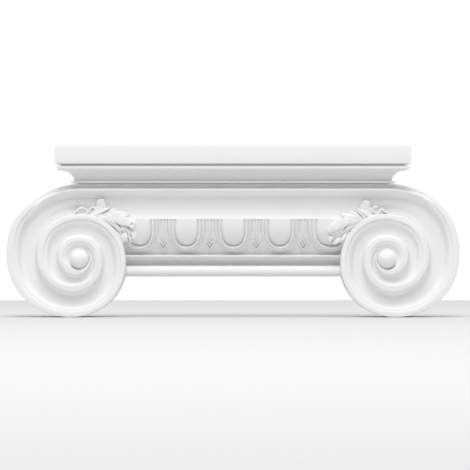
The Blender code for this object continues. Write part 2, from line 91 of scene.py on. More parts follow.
RIM_FORWARD = ((0, 0.0385), (16, 0.0450), (36, 0.0485), (270, 0.0490), (330, 0.0490), (360, 0.0387))
STEP_DOWN = 0.0017
STEP_DOWN_SHARE = 0.22
CHANNEL_FALL = 0.0104
FALL_SHARE = 0.78
FALL_SHARE_GAIN = 0.14
LIP_CROWN = 0.0003
OPEN_TURN = 350
CREVICE_DEPTH = 0.0022
CREVICE_RADIUS = 0.0117
CREVICE_ANGLES = (838, 862, 878, 924)

# The straight band: distance down from its upper edge, then how far forward
BAND_PROFILE = (
    (0.0000, 0.0385), (0.0006, 0.0390), (0.0045, 0.0378), (0.0046, 0.0484), (0.0049, 0.0495),
    (0.0056, 0.0500), (0.0066, 0.0496), (0.0076, 0.0484), (0.0086, 0.0463), (0.0094, 0.0440),
    (0.0101, 0.0418), (0.0108, 0.0402), (0.0118, 0.0390), (0.0130, 0.0383), (0.0143, 0.0379),
    (0.0165, 0.0375), (0.0200, 0.0371), (0.0240, 0.0369), (0.0270, 0.0373), (0.0295, 0.0387),
    (0.0318, 0.0414), (0.0336, 0.0449), (0.0347, 0.0479), (0.0353, 0.0490),
)
BAND_EDGE_END = 0.0006
BAND_LIP_END = 0.0045
BAND_FALL_END = 0.0200
BAND_FLOOR_END = 0.0280
BAND_STRETCH_FROM = 0.0140
BAND_LEVEL_FROM = 0.0240
BAND_END_EASE = 0.020
STRAIGHT_COLUMNS = 24


def along(table, where):
    """Sizes from a table at these places, by a smooth curve through its points."""
    spots, sizes = np.array(table, float).T
    where = np.clip(where, spots[0], spots[-1])
    slopes = np.empty_like(sizes)
    slopes[1:-1] = (sizes[2:] - sizes[:-2]) / (spots[2:] - spots[:-2])
    slopes[0] = (sizes[1] - sizes[0]) / (spots[1] - spots[0])
    slopes[-1] = (sizes[-1] - sizes[-2]) / (spots[-1] - spots[-2])
    i = np.clip(np.searchsorted(spots, where, side="right") - 1, 0, len(spots) - 2)
    gap = spots[i + 1] - spots[i]
    t = (where - spots[i]) / gap
    return ((2 * t ** 3 - 3 * t ** 2 + 1) * sizes[i] + (t ** 3 - 2 * t ** 2 + t) * gap * slopes[i]
            + (3 * t ** 2 - 2 * t ** 3) * sizes[i + 1] + (t ** 3 - t ** 2) * gap * slopes[i + 1])


def ease(t):
    t = np.clip(t, 0, 1)
    return t * t * (3 - 2 * t)


def foot_forward(angle):
    """How far forward the outer foot of the lip stands: on the channel floor one turn out."""
    outer = along(RIM_FORWARD, angle)
    inner = along(FLOOR_FORWARD, angle - 360) + 0.0002
    return np.where(angle < 360, outer, np.where(angle >= LAST_ANGLE, HUB_FORWARD, inner))


turn_angles = np.arange(0, 360, TURN_STEP)
EYE_Z = (-along(RIM_INWARD, turn_angles) * np.cos(np.radians(turn_angles))).max()
BAND_TOP = EYE_Z + BAND_TOP_ABOVE_EYE
BAND_BOTTOM = EYE_Z + float(along(RIM_INWARD, JOIN_ANGLE)) * cos(radians(JOIN_ANGLE))

# Rows across the channel, each as shares of its own run: outer slope, lip, fall, floor and
# inner slope. Then where along their rows the fall and the slope turn, and the eye's rings
SLOPE_ROWS = np.linspace(0, 1, 14, endpoint=False)
LIP_ROWS = np.linspace(0, 1, 7)
FALL_ROWS = np.array([
    0.02, 0.10, 0.20, 0.27, 0.34, 0.40, 0.46, 0.52, 0.58, 0.64, 0.70, 0.76, 0.82, 0.89, 0.96])
SHOULDER = 0.30
FALL_END = 0.80
SLOPE_START = 0.30
SLOPE_END = 0.76
GENTLE_SHARE = 0.18
FLOOR_ROWS = np.linspace(0, 1, 5, endpoint=False)
INNER_ROWS = np.array([0.0, 0.25, 0.45, 0.62, 0.76, 0.87, 0.95, 1.0])
EYE_RINGS = np.array([1.0, 0.985, 0.965, 0.93, 0.88, 0.80, 0.68, 0.52, 0.34, 0.16])
EYE_ROUNDNESS = 0.62
BACK_EDGE = 0.0008


def stretched(down, reach):
    """Distance down the band, its lower part stretched to the reach of the channel there."""
    return np.where(down > BAND_STRETCH_FROM, down * reach, down + 0 * reach)


def lower_share(down):
    """How much of a change of the band's lower end is felt at a distance down."""
    return ease((down - BAND_LEVEL_FROM) / (BAND_REACH - BAND_LEVEL_FROM))


def channel_rows(angles, side):
    """Radius and forward place of every row of the channel at these angles."""
    angles = angles[:, None]
    rim = along(RIMS[side], angles)
    crest = rim - along(LIP_SLOPE, angles)
    lip = along(LIP_WIDTH, angles)
    step = crest - lip
    inner = along(RIMS[side], angles + 360)
    high = along(LIP_FORWARD, angles)
    low = along(FLOOR_FORWARD, angles)
    low = np.where(angles > 720, low + (HUB_FORWARD - low) * ease((angles - 960) / 120), low)
    foot = foot_forward(angles)
    inner_foot = foot_forward(angles + 360)
    span = step - inner
    fall = np.minimum(CHANNEL_FALL, (FALL_SHARE + FALL_SHARE_GAIN * ease((angles - 500) / 120)) * span)
    edge = high - np.minimum(STEP_DOWN, STEP_DOWN_SHARE * (high - low))
    rest = span - fall
    swing = ease((SLOPE_ROWS - SLOPE_START) / (SLOPE_END - SLOPE_START))
    swing = GENTLE_SHARE * SLOPE_ROWS + (1 - GENTLE_SHARE) * swing
    rounding = np.where(angles < OPEN_TURN, np.sin(SLOPE_ROWS * pi / 2), swing)
    drop = 1 - ease((FALL_ROWS - SHOULDER) / (FALL_END - SHOULDER))
    drop = GENTLE_SHARE * (1 - FALL_ROWS) + (1 - GENTLE_SHARE) * drop
    crown = LIP_CROWN * np.sin(LIP_ROWS * pi) ** 0.6 * np.minimum(1, lip / 0.004)
    radius = np.concatenate([
        rim - (rim - crest) * SLOPE_ROWS, crest - lip * LIP_ROWS, step - fall * FALL_ROWS,
        inner + rest - 0.7 * rest * FLOOR_ROWS, inner + 0.3 * rest * (1 - INNER_ROWS)], axis=1)
    forward = np.concatenate([
        foot + (high - foot) * rounding, high - LIP_CROWN + crown,
        low + (edge - low) * drop, low + 0 * FLOOR_ROWS,
        low + (inner_foot - low) * INNER_ROWS ** 3], axis=1)
    # Crescent cut under the eye, at its outer side
    start, full, fading, end = CREVICE_ANGLES
    cut = CREVICE_DEPTH * ease((angles - start) / (full - start)) * ease((end - angles) / (end - fading))
    cut = cut * ease((CREVICE_RADIUS - radius) / 0.0005)
    forward -= np.where(radius < crest - lip, cut, 0)
    # Near the top the section turns into that of the straight band
    down = np.concatenate([
        BAND_EDGE_END * SLOPE_ROWS, BAND_EDGE_END + (BAND_LIP_END - BAND_EDGE_END) * LIP_ROWS,
        BAND_LIP_END + (BAND_FALL_END - BAND_LIP_END) * FALL_ROWS ** 0.9,
        BAND_FALL_END + (BAND_FLOOR_END - BAND_FALL_END) * FLOOR_ROWS,
        BAND_FLOOR_END + (BAND_REACH - BAND_FLOOR_END) * INNER_ROWS])
    share = 1 - ease(angles / BLEND_ANGLE)
    band = along(BAND_PROFILE, down)
    level = band + (inner_foot - band[-1]) * lower_share(down)
    placed = stretched(down, (rim - inner) / BAND_REACH)
    radius[:, :-1] += (share * (rim - placed - radius))[:, :-1]
    forward[:, :-1] += (share * (level - forward))[:, :-1]
    return radius, forward, down, band


def grid_faces(columns, rows, start=0, around=False):
    """Quads of a grid of points numbered column by column."""
    number = np.arange(columns * rows).reshape(columns, rows) + start
    if around:
        number = np.concatenate([number, number[:1]])
    a, b, c, d = number[:-1, :-1], number[1:, :-1], number[1:, 1:], number[:-1, 1:]
    return np.stack([a, b, c, d], axis=-1).reshape(-1, 4).tolist()


def closing_quads(rings, around):
    """Quads between the last and the first point of each ring, ring by ring."""
    return [[around * i + around - 1, around * (i + 1) + around - 1, around * (i + 1), around * i]
            for i in range(rings - 1)]


def place(x, forward, z):
    """Points from across, forward of the back plane, and up."""
    return np.stack(np.broadcast_arrays(x, BACK - np.asarray(forward), z), axis=-1).reshape(-1, 3)


def finish_piece(name, points, faces, crease=38):
    """A closed mesh object: doubles merged, faces outward, smooth but for its real edges."""
    mesh = bpy.data.meshes.new(name)
    mesh.from_pydata(points.tolist(), [], faces)
    shape = bmesh.new()
    shape.from_mesh(mesh)
    bmesh.ops.remove_doubles(shape, verts=shape.verts, dist=2e-6)
    bmesh.ops.dissolve_degenerate(shape, edges=shape.edges, dist=1e-6)
    bmesh.ops.recalc_face_normals(shape, faces=shape.faces)
    shape.to_mesh(mesh)
    shape.free()
    mesh.shade_smooth()
    mesh.set_sharp_from_angle(angle=radians(crease))
    piece = bpy.data.objects.new(name, mesh)
    bpy.context.scene.collection.objects.link(piece)
    return piece


def volute_half(side):
    """Points and faces of the band and the volute on one side, open where the halves meet."""
    turns = np.arange(0, LAST_ANGLE + TURN_STEP / 2, TURN_STEP)
    radius, forward, down, band = channel_rows(turns, side)
    rows = radius.shape[1]
    turn = np.radians(turns)[:, None]
    spiral = place(side * (EYE_X + radius * np.sin(turn)), forward, EYE_Z + radius * np.cos(turn))
    # Straight columns, then those whose lower end follows the rim of the volute
    skew = np.arange(JOIN_ANGLE, 360, TURN_STEP)
    rim = along(RIMS[side], skew)
    join_x = EYE_X + rim[0] * sin(radians(JOIN_ANGLE))
    straight = np.linspace(0, join_x, STRAIGHT_COLUMNS, endpoint=False)
    across = np.concatenate([straight, EYE_X + rim * np.sin(np.radians(skew))])[:, None]
    low = np.concatenate([straight * 0 + BAND_BOTTOM, EYE_Z + rim * np.cos(np.radians(skew))])[:, None]
    end = np.concatenate([straight * 0 + band[-1], foot_forward(skew)])
    near_join = ease((straight - join_x + BAND_END_EASE) / BAND_END_EASE)
    end[:len(straight)] += near_join * (end[len(straight)] - band[-1])
    level = band + (end - band[-1])[:, None] * lower_share(down)
    fallen = stretched(down, (BAND_TOP - low) / BAND_REACH)
    flat = place(side * across, level, BAND_TOP - fallen)
    flat[rows - 1::rows, 2] = low[:, 0]
    points = [flat, spiral]
    faces = grid_faces(len(across) + len(turns), rows)
    # Domed eye inside the last turn
    hub = spiral.reshape(len(turns), rows, 3)[turns >= LAST_ANGLE - 360, -1][:-1]
    start = sum(len(p) for p in points)
    share = EYE_RINGS
    dome = HUB_FORWARD + (EYE_FRONT - HUB_FORWARD) * (1 - share ** 2) ** EYE_ROUNDNESS
    eye = np.repeat(hub[:, None, :], len(share), axis=1)
    eye[:, :, 0] = side * EYE_X + (eye[:, :, 0] - side * EYE_X) * share
    eye[:, :, 2] = EYE_Z + (eye[:, :, 2] - EYE_Z) * share
    eye[:, 1:, 1] = BACK - dome[1:]
    points.append(eye.reshape(-1, 3))
    faces += grid_faces(len(hub), len(share), start, around=True)
    pole = start + eye.shape[0] * eye.shape[1]
    points.append(np.array([[side * EYE_X, BACK - EYE_FRONT, EYE_Z]]))
    last = [start + i * len(share) + len(share) - 1 for i in range(len(hub))]
    faces += [[a, b, pole] for a, b in zip(last, last[1:] + last[:1])]
    # Walls to the flat back
    top = [i * rows for i in range(len(across) + int(JOIN_ANGLE / TURN_STEP) + 1)]
    under = [i * rows + rows - 1 for i in range(len(straight) + 1)]
    outline = np.concatenate(points)[top + under[::-1]]
    rear = outline.copy()
    rear[:, 1] = BACK
    near = outline.copy()
    near[:, 1] = BACK - BACK_EDGE
    start = pole + 1
    wall = np.stack([outline, near, rear], axis=1)
    points.append(wall.reshape(-1, 3))
    faces += grid_faces(len(outline), 3, start)
    faces.append([start + 3 * i + 2 for i in range(len(outline))])
    return np.concatenate(points), faces


left_points, left_faces = volute_half(-1)
right_points, right_faces = volute_half(1)
shifted = [[i + len(left_points) for i in face] for face in right_faces]
both_points = np.concatenate([left_points, right_points])
volutes = finish_piece("band_and_volutes", both_points, left_faces + shifted)


class Signal:
    """One output of the primer's nodes, which can be added to, multiplied and so on."""

    def __init__(self, shader, socket):
        self.shader = shader
        self.socket = socket

    def maths(self, operation, first, second):
        return self.shader.node("ShaderNodeMath", {"operation": operation}, {0: first, 1: second})

    def __add__(self, other):
        return self.maths("ADD", self, other)

    __radd__ = __add__

    def __sub__(self, other):
        return self.maths("SUBTRACT", self, other)

    def __rsub__(self, other):
        return self.maths("SUBTRACT", other, self)

    def __mul__(self, other):
        return self.maths("MULTIPLY", self, other)

    __rmul__ = __mul__


class Shader:
    """A material whose nodes are made by one method."""

    def __init__(self, name):
        self.material = bpy.data.materials.new(name)
        self.material.use_nodes = True
        self.tree = self.material.node_tree
        self.surface = self.tree.nodes["Principled BSDF"]

    def feed(self, socket, value):
        if isinstance(value, Signal):
            self.tree.links.new(value.socket, socket)
        else:
            socket.default_value = value

    def node(self, kind, settings, inputs, output=0):
        made = self.tree.nodes.new(kind)
        for setting, value in settings.items():
            setattr(made, setting, value)
        for socket, value in inputs.items():
            self.feed(made.inputs[socket], value)
        return Signal(self, made.outputs[output])


# Satin-matt white primer sprayed over the casting: a faint cloudy tone, a very fine
# orange peel, and slow unevenness of the foam skin under it
primer = Shader("white_primer_coat")
where = primer.node("ShaderNodeTexCoord", {}, {}, "Object")
clouds = primer.node("ShaderNodeTexNoise", {}, {"Vector": where, "Scale": 18.0, "Detail": 3.0})
speckle = primer.node("ShaderNodeTexNoise", {}, {"Vector": where, "Scale": 420.0, "Detail": 2.0})
peel = primer.node("ShaderNodeTexNoise", {}, {"Vector": where, "Scale": 1100.0, "Detail": 2.0})
tone = 0.5 * clouds + 0.5 * speckle
primer.feed(primer.surface.inputs["Base Color"], primer.node(
    "ShaderNodeMix", {"data_type": "RGBA"},
    {0: tone, 6: (0.845, 0.845, 0.842, 1), 7: (0.880, 0.880, 0.880, 1)}, 2))
primer.feed(primer.surface.inputs["Roughness"], 0.42 + 0.16 * clouds + 0.06 * speckle)
relief = 0.75 * clouds + 0.05 * speckle + 0.02 * peel
primer.feed(primer.surface.inputs["Normal"], primer.node(
    "ShaderNodeBump", {}, {"Strength": 0.35, "Distance": 0.0012, "Height": relief}))
primer.surface.inputs["IOR"].default_value = 1.46
primer.surface.inputs["Specular IOR Level"].default_value = 0.4
volutes.data.materials.append(primer.material)
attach(volutes, "root")
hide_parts("ionic_capital")


# Abacus: the square-edged cap over the band. Fascia, fillet, cove and lower fillet are
# moulded in the same casting and mitred round both ends, down to a neck behind the band.

TOTAL_HEIGHT = 0.1718
ABACUS_WIDTH = 0.3554
FASCIA_HEIGHT = 0.0182
QUIRK_HEIGHT = 0.0020
QUIRK_DEPTH = 0.0040
FILLET_HEIGHT = 0.0040
COVE_HEIGHT = 0.0110
LOWER_FILLET_HEIGHT = 0.0018
LOWER_FILLET_REACH = 0.0030
FILLET_INSET = 0.0016
COVE_INSET = 0.0185
NECK_INSET = 0.0040
BEAD_ROUNDING = 0.0022
BEAD_SQUARENESS = 0.55
TOP_ROUNDING = 0.0006
LOW_ROUNDING = 0.0005
NECK_ROUNDINGS = (0.0004, 0.0004, 0.0008)
NECK_DEPTH_IN_BAND = 0.0080
ARRIS = 0.0004

# The backs of the abacus and of the bed end just inside the back of the band, which they overlap
REAR_STEP = 0.0002


def rounded(corner_in, corner, corner_out, radius, steps=4):
    """Points of a small rounding where two straight runs of a profile meet."""
    corner_in, corner, corner_out = (np.array(p, float) for p in (corner_in, corner, corner_out))
    start = corner + (corner_in - corner) / np.linalg.norm(corner_in - corner) * radius
    end = corner + (corner_out - corner) / np.linalg.norm(corner_out - corner) * radius
    spots = np.linspace(0, 1, steps)[:, None]
    curve = (1 - spots) ** 2 * start + 2 * spots * (1 - spots) * corner + spots ** 2 * end
    return [tuple(p) for p in curve]


def abacus_profile():
    """(inset, height) points of the abacus from its top to its neck."""
    low = TOTAL_HEIGHT - FASCIA_HEIGHT
    quirk = FILLET_INSET + QUIRK_DEPTH
    bead_top = low - QUIRK_HEIGHT
    bead_low = bead_top - FILLET_HEIGHT
    cove_top = bead_low - 0.0002
    cove_in = FILLET_INSET + BEAD_ROUNDING
    base = cove_top - COVE_HEIGHT
    points = [(0.004, TOTAL_HEIGHT)]
    points += rounded(points[0], (0.0, TOTAL_HEIGHT), (0.0, low), TOP_ROUNDING)
    points += rounded((0.0, TOTAL_HEIGHT), (0.0, low), (quirk, low), LOW_ROUNDING)
    points += [(quirk, low - 0.0001), (quirk, bead_top + 0.0002)]
    # Bead-like fillet: flat at its front, turned over above and below
    for turn in np.linspace(pi / 2, -pi / 2, 13):
        reach = abs(cos(turn)) ** BEAD_SQUARENESS * BEAD_ROUNDING
        points.append((cove_in - reach, (bead_top + bead_low) / 2 + sin(turn) * FILLET_HEIGHT / 2))
    run = COVE_INSET - cove_in
    for turn in np.linspace(0.06, pi / 2, 16):
        points.append((cove_in + run * sin(turn), cove_top - COVE_HEIGHT * (1 - cos(turn))))
    fillet = COVE_INSET - LOWER_FILLET_REACH
    under = base - LOWER_FILLET_HEIGHT
    neck = COVE_INSET + NECK_INSET
    tail = [points[-1], (fillet, base - 0.0001), (fillet, under), (neck, under - 0.0004),
            (neck, BAND_TOP - NECK_DEPTH_IN_BAND)]
    for before, corner, after, radius in zip(tail, tail[1:], tail[2:], NECK_ROUNDINGS):
        points += rounded(before, corner, after, radius)
    return points + [tail[-1]]


rings = []
for inset, height in abacus_profile():
    half = ABACUS_WIDTH / 2 - inset
    front = DEPTH - inset
    rings.append(place([-half, half, half, -half], [REAR_STEP, REAR_STEP, front, front], height))
abacus_points = np.concatenate(rings)
abacus_faces = grid_faces(len(rings), 4) + closing_quads(len(rings), 4)
abacus_faces += [[0, 1, 2, 3], [len(abacus_points) - k for k in (4, 3, 2, 1)]]
abacus = finish_piece("abacus", abacus_points, abacus_faces, 30)
arris = abacus.modifiers.new("arris", "BEVEL")
arris.width = ARRIS
arris.segments = 2
arris.limit_method = "ANGLE"
arris.angle_limit = radians(50)
abacus.data.materials.append(primer.material)
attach(abacus, "root")
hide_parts("ionic_capital")


# Echinus bed and neck mouldings: the plain curved ground that carries the eggs, with a
# fillet, a cove and a round astragal under it, in the same foam. They run straight between
# the volutes and end inside them.

NECK_DROP = 0.0575
NECK_BOTTOM = BAND_BOTTOM - NECK_DROP
NECK_TUCK = 0.0028
ASTRAGAL_RADIUS = 0.0054
ASTRAGAL_FORWARD = 0.0420
ASTRAGAL_TOP = (0.0310, 0.0107)
NECK_FILLET_FORWARD = 0.0412
NECK_FILLET_LOW = 0.0198
NECK_FILLET_TOP = 0.0213
BED_LOW = 0.0222
BED_HIGH = 0.0572
BED_ROOT_FORWARD = 0.0405
BED_ROOT_TOP = 0.0620
RIM_FOLLOWED_TO = 0.0375

# Height above the neck's lower edge, then how far forward
COVE_PROFILE = (
    (0.0112, 0.0290), (0.0122, 0.0286), (0.0132, 0.0289), (0.0145, 0.0302), (0.0160, 0.0324),
    (0.0175, 0.0351), (0.0187, 0.0376), (0.0195, 0.0396),
)
BED_PROFILE = (
    (0.0215, 0.0318), (0.0245, 0.0340), (0.0275, 0.0362), (0.0335, 0.0407), (0.0395, 0.0442),
    (0.0455, 0.0463), (0.0515, 0.0473), (0.0572, 0.0476), (0.0590, 0.0476),
)


def bed_forward(height):
    """Front of the plain bed of the eggs at a height."""
    return along(BED_PROFILE, height - NECK_BOTTOM)


outline = [(REAR_STEP, 0.0)]
for turn in np.linspace(-pi / 2, pi / 2, 22):
    forward = ASTRAGAL_FORWARD - ASTRAGAL_RADIUS * (1 - cos(turn))
    outline.append((forward, ASTRAGAL_RADIUS * (1 + sin(turn))))
outline.append(ASTRAGAL_TOP)
outline += [(forward, up) for up, forward in COVE_PROFILE]
fillet_low = (NECK_FILLET_FORWARD, NECK_FILLET_LOW)
fillet_top = (NECK_FILLET_FORWARD, NECK_FILLET_TOP)
outline += rounded((0.0403, NECK_FILLET_LOW), fillet_low, fillet_top, 0.0003, 3)
outline += rounded(fillet_low, fillet_top, (0.0385, 0.0216), 0.0005, 4)
bed_heights = np.linspace(BED_LOW, BED_HIGH, 28)
outline += [(float(bed_forward(NECK_BOTTOM + up)), float(up)) for up in bed_heights]
outline += [(BED_ROOT_FORWARD, 0.0580), (BED_ROOT_FORWARD, BED_ROOT_TOP), (REAR_STEP, BED_ROOT_TOP)]
forward, up = np.array(outline).T
level = NECK_BOTTOM + up
rim_radius = along(RIM_INWARD, 300.0) - NECK_TUCK
reach = rim_radius ** 2 - np.minimum(level - EYE_Z, RIM_FOLLOWED_TO) ** 2
half_run = EYE_X - np.sqrt(reach)
bed_points = np.concatenate([place(x, forward, level) for x in (-half_run, 0 * half_run, half_run)])
count = len(outline)
bed_faces = grid_faces(3, count) + closing_quads(3, count)
bed_faces += [list(range(count)), list(range(3 * count - 1, 2 * count - 1, -1))]
bed = finish_piece("echinus_bed", bed_points, bed_faces)
bed.data.materials.append(primer.material)
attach(bed, "root")
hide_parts("ionic_capital")


# Egg and dart: eggs in double U-shaped shells with an arrow between each pair, in low
# relief on the bed and cast with it. One egg and one dart are modelled and repeated at even
# spacing by geometry nodes; the egg at the right end is stretched to fill out the run.

EGG_SPACING = 0.04675
EGG_COUNT = 5
END_EGG_EXTRA = 0.0045
EGG_HALF_WIDTH = 0.0116
EGG_THICKNESS = 0.0036
EGG_EDGE_ROUNDING = 0.0042
SHELL_TURN_HEIGHT = 0.0466
SHELL_SQUEEZE = 0.752
SHELL_SQUARENESS = 2.3
INNER_RIDGE_WIDTH = 0.0034
INNER_RIDGE_HEIGHT = 0.0030
INNER_RIDGE_GAIN = 0.0026
OUTER_RIDGE = 0.0154
OUTER_RIDGE_SPREAD = 0.0015
OUTER_RIDGE_HEIGHT = 0.0028
OUTER_RIDGE_HALF = 0.0013
BED_SINK = 0.0014
CREASE_DEPTH = 0.0014
CREASE_GAIN = 0.0030
CREASE_HALF = 0.0007
EGG_PATCH_HALF = 0.0200
EGG_PATCH_LOW = 0.0236
DART_PATCH_HALF = 0.0078
DART_PATCH_LOW = 0.0232
DART_TIP = 0.0262
BARB_SLOPE = 1.65
BARB_THINNING = 0.52
BARB_SIDES = 0.0060
VEE_ABOVE_BARB = 0.0046
VEE_SIDES = 0.0040
RELIEF_ROOT = 0.0030
PATCH_TUCK = 0.0002


def closed_patch(name, across, heights, surface):
    """A relief patch with walls and a rear face sunk in the bed behind it."""
    columns, rows = surface.shape
    x = np.repeat(across[:, None], rows, axis=1)
    z = np.repeat(heights[None, :], columns, axis=0)
    rear = bed_forward(z) - RELIEF_ROOT
    points = np.concatenate([place(x, surface, z), place(x, rear, z)])
    front_faces = grid_faces(columns, rows)
    size = columns * rows
    rear_faces = [[i + size for i in reversed(face)] for face in front_faces]
    edge = list(range(rows)) + [i * rows + rows - 1 for i in range(1, columns)]
    edge += [size - 1 - i for i in range(1, rows)] + [i * rows for i in range(columns - 2, 0, -1)]
    walls = [[a, b, b + size, a + size] for a, b in zip(edge, edge[1:] + edge[:1])]
    patch = finish_piece(name, points, front_faces + rear_faces + walls)
    patch.data.materials.append(primer.material)
    return patch


def bump(distance, width):
    """A rounded ridge across a line."""
    return np.clip(1 - (distance / width) ** 2, 0, 1) ** 0.75


def egg_patch():
    """One egg between the two ridges of its shell, which turn round under it."""
    across = np.linspace(-EGG_PATCH_HALF, EGG_PATCH_HALF, 101)
    heights = np.linspace(NECK_BOTTOM + EGG_PATCH_LOW, BAND_BOTTOM + PATCH_TUCK, 88)
    p, z = np.meshgrid(across, heights, indexing="ij")
    below = np.maximum(NECK_BOTTOM + SHELL_TURN_HEIGHT - z, 0)
    power = SHELL_SQUARENESS
    d = (np.abs(p) ** power + (SHELL_SQUEEZE * below) ** power) ** (1 / power)
    low = ease(below / 0.012)
    # The inner ridge rises slowly from the egg and falls steeply on its outer side
    risen = np.clip((d - EGG_HALF_WIDTH) / INNER_RIDGE_WIDTH, 0, 1) ** 1.3
    inner = (INNER_RIDGE_HEIGHT + INNER_RIDGE_GAIN * low) * np.sin(pi * risen) ** 0.8
    outer_line = OUTER_RIDGE + OUTER_RIDGE_SPREAD * (1 - low)
    outer = OUTER_RIDGE_HEIGHT * bump(d - outer_line, OUTER_RIDGE_HALF)
    shell = np.maximum(inner, outer) - BED_SINK * ease((d - outer_line - 0.0012) / 0.0009)
    inside = np.clip((EGG_HALF_WIDTH - d) / EGG_EDGE_ROUNDING, 0, 1)
    egg = EGG_THICKNESS * np.sqrt(1 - (1 - inside) ** 2)
    crease = (CREASE_DEPTH + CREASE_GAIN * low) * bump(d - EGG_HALF_WIDTH - 0.0001, CREASE_HALF)
    relief = np.where(d < EGG_HALF_WIDTH, np.maximum(egg, shell), shell) - crease
    return closed_patch("egg_in_shell", across, heights, bed_forward(z) + relief)


def dart_patch():
    """One arrow: a stem between two flanks, a barbed head, and a small ball at its point."""
    across = np.linspace(-DART_PATCH_HALF, DART_PATCH_HALF, 47)
    heights = np.linspace(NECK_BOTTOM + DART_PATCH_LOW, BAND_BOTTOM + PATCH_TUCK, 96)
    p, z = np.meshgrid(across, heights, indexing="ij")
    up = z - NECK_BOTTOM
    side = np.abs(p)
    stem = 0.0030 * bump(side, 0.0013) * ease((up - 0.0352) / 0.001)
    flank = 0.0024 * bump(side - 0.0037, 0.0010) * ease((up - 0.0420) / 0.008)
    above = up - DART_TIP - BARB_SLOPE * side
    barb = 0.0024 * bump(above * BARB_THINNING, 0.0012) * ease((BARB_SIDES - side) / 0.0006)
    vee = bump((above - VEE_ABOVE_BARB) * BARB_THINNING, 0.0010)
    vee = 0.0020 * vee * ease((VEE_SIDES - side) / 0.0006)
    husk = 0.0026 * bump(np.hypot(side - 0.0045, (up - 0.0340) * 0.8), 0.0015)
    ball = 0.0026 * np.sqrt(np.clip(1 - (p ** 2 + (up - 0.0245) ** 2) / 0.0012 ** 2, 0, 1))
    relief = np.maximum.reduce([stem, flank, barb, vee, husk, ball])
    # The bed sinks round the arrow, deepest on both sides of its ball
    hollow = 0.0010 * bump(np.hypot(side - 0.0044, up - 0.0252), 0.0030)
    sink = (BED_SINK + hollow) * (1 - ease(relief / 0.0004))
    return closed_patch("dart", across, heights, bed_forward(z) + relief - sink)


def repeat_along_x(unit, name, count, spacing, first, stretch=1.0, shift=0.0):
    """Copies of one patch in a row; the last may be wider and set over. One plain mesh comes back."""
    tree = bpy.data.node_groups.new(name, "GeometryNodeTree")
    tree.interface.new_socket("Geometry", in_out="OUTPUT", socket_type="NodeSocketGeometry")
    sockets = {}
    for label, kind in (("Unit", "NodeSocketObject"), ("Count", "NodeSocketInt"),
                        ("Spacing", "NodeSocketFloat"), ("First", "NodeSocketFloat"),
                        ("Last stretch", "NodeSocketFloat"), ("Last shift", "NodeSocketFloat"),
                        ("Coat", "NodeSocketMaterial")):
        sockets[label] = tree.interface.new_socket(label, in_out="INPUT", socket_type=kind).identifier

    def add(kind, settings, links):
        made = tree.nodes.new(kind)
        for setting, value in settings.items():
            setattr(made, setting, value)
        for socket, value in links.items():
            if isinstance(value, bpy.types.NodeSocket):
                tree.links.new(value, made.inputs[socket])
            else:
                made.inputs[socket].default_value = value
        return made

    given = tree.nodes.new("NodeGroupInput").outputs
    result = tree.nodes.new("NodeGroupOutput")
    start = add("ShaderNodeCombineXYZ", {}, {"X": given["First"]})
    offset = add("ShaderNodeCombineXYZ", {}, {"X": given["Spacing"]})
    row = add("GeometryNodeMeshLine", {}, {
        "Count": given["Count"], "Start Location": start.outputs[0], "Offset": offset.outputs[0]})
    index = add("GeometryNodeInputIndex", {}, {})
    last = add("ShaderNodeMath", {"operation": "SUBTRACT"}, {0: given["Count"], 1: 1.0})
    is_last = add("FunctionNodeCompare", {"data_type": "FLOAT", "operation": "GREATER_EQUAL"},
                  {0: index.outputs[0], 1: last.outputs[0]})
    over = add("ShaderNodeMath", {"operation": "MULTIPLY"},
               {0: is_last.outputs[0], 1: given["Last shift"]})
    move = add("ShaderNodeCombineXYZ", {}, {"X": over.outputs[0]})
    moved = add("GeometryNodeSetPosition", {}, {"Geometry": row.outputs[0], "Offset": move.outputs[0]})
    extra = add("ShaderNodeMath", {"operation": "SUBTRACT"}, {0: given["Last stretch"], 1: 1.0})
    gained = add("ShaderNodeMath", {"operation": "MULTIPLY_ADD"},
                 {0: is_last.outputs[0], 1: extra.outputs[0], 2: 1.0})
    scale = add("ShaderNodeCombineXYZ", {}, {"X": gained.outputs[0], "Y": 1.0, "Z": 1.0})
    source = add("GeometryNodeObjectInfo", {}, {"Object": given["Unit"]})
    copies = add("GeometryNodeInstanceOnPoints", {}, {
        "Points": moved.outputs[0], "Instance": source.outputs["Geometry"], "Scale": scale.outputs[0]})
    real = add("GeometryNodeRealizeInstances", {}, {"Geometry": copies.outputs[0]})
    coated = add("GeometryNodeSetMaterial", {}, {"Geometry": real.outputs[0], "Material": given["Coat"]})
    tree.links.new(coated.outputs[0], result.inputs[0])

    carrier = bpy.data.objects.new(name, bpy.data.meshes.new(name))
    bpy.context.scene.collection.objects.link(carrier)
    rule = carrier.modifiers.new("repeat", "NODES")
    rule.node_group = tree
    for label, value in (("Unit", unit), ("Count", count), ("Spacing", spacing), ("First", first),
                         ("Last stretch", stretch), ("Last shift", shift), ("Coat", primer.material)):
        rule[sockets[label]] = value
    bpy.context.view_layer.update()
    graph = bpy.context.evaluated_depsgraph_get()
    plain = bpy.data.meshes.new_from_object(carrier.evaluated_get(graph))
    carrier.modifiers.clear()
    carrier.data = plain
    bpy.data.objects.remove(unit, do_unlink=True)
    return carrier


first_egg = -EGG_SPACING * (EGG_COUNT - 1) / 2
shell_half = OUTER_RIDGE + OUTER_RIDGE_SPREAD
eggs = repeat_along_x(egg_patch(), "eggs", EGG_COUNT, EGG_SPACING, first_egg,
                      stretch=1 + END_EGG_EXTRA / shell_half, shift=END_EGG_EXTRA)
darts = repeat_along_x(dart_patch(), "darts", EGG_COUNT - 1, EGG_SPACING, first_egg + EGG_SPACING / 2)
for carving in (eggs, darts):
    carving.data.shade_smooth()
    carving.data.set_sharp_from_angle(angle=radians(60))
    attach(carving, "root")
    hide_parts("ionic_capital")


